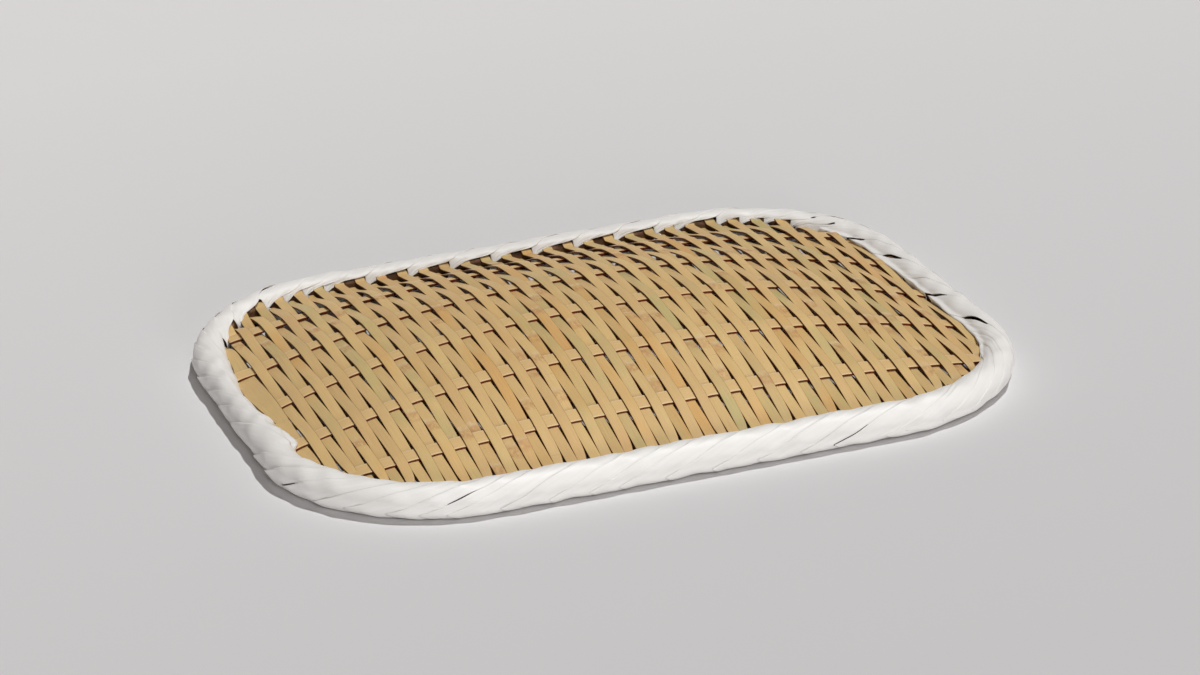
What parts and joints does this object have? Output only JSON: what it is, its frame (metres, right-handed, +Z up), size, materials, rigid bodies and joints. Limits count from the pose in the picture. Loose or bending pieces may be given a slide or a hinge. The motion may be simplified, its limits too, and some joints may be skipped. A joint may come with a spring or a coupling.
{
  "type": "bamboo draining basket",
  "caption": "Shallow rectangular zaru with rounded corners: flat bamboo wefts woven over and under wider warps, domed bed, bamboo hoops bound with pale tape, lying bed side up on its rim.",
  "frame": {"origin": "middle of the footprint, at the height of the surface that the rim rests on", "axes": "+Z up with the domed side up, +X along the long side, +Y to the back"},
  "size_m": [0.3634, 0.2876, 0.0359],
  "materials": {
    "weft_bamboo": "satin split bamboo, straw to greenish tan",
    "warp_bamboo": "satin split bamboo",
    "hoop_bamboo": "split bamboo, slightly browner",
    "binding_tape": "matte white flexible tape"
  },
  "bodies": {
    "root": {"weft_pair_01": "weft_bamboo", "weft_pair_02": "weft_bamboo", "weft_pair_03": "weft_bamboo", "weft_pair_04": "weft_bamboo", "weft_pair_05": "weft_bamboo", "weft_pair_06": "weft_bamboo", "weft_pair_07": "weft_bamboo", "weft_pair_08": "weft_bamboo", "weft_pair_09": "weft_bamboo", "weft_pair_10": "weft_bamboo", "weft_pair_11": "weft_bamboo", "weft_pair_12": "weft_bamboo", "weft_pair_13": "weft_bamboo", "weft_pair_14": "weft_bamboo", "weft_pair_15": "weft_bamboo", "weft_pair_16": "weft_bamboo", "weft_pair_17": "weft_bamboo", "weft_pair_18": "weft_bamboo", "weft_pair_19": "weft_bamboo", "weft_pair_20": "weft_bamboo", "weft_pair_21": "weft_bamboo", "weft_pair_22": "weft_bamboo", "weft_pair_23": "weft_bamboo", "weft_pair_24": "weft_bamboo", "weft_pair_25": "weft_bamboo", "weft_pair_26": "weft_bamboo", "weft_pair_27": "weft_bamboo", "weft_pair_28": "weft_bamboo", "weft_pair_29": "weft_bamboo", "weft_pair_30": "weft_bamboo", "warp_1": "warp_bamboo", "warp_2": "warp_bamboo", "warp_3": "warp_bamboo", "warp_4": "warp_bamboo", "warp_5": "warp_bamboo", "inner_hoop": "hoop_bamboo", "outer_hoop": "hoop_bamboo", "binding_front": "binding_tape", "binding_right": "binding_tape", "binding_back": "binding_tape", "binding_left": "binding_tape"}
  },
  "joints": []
}
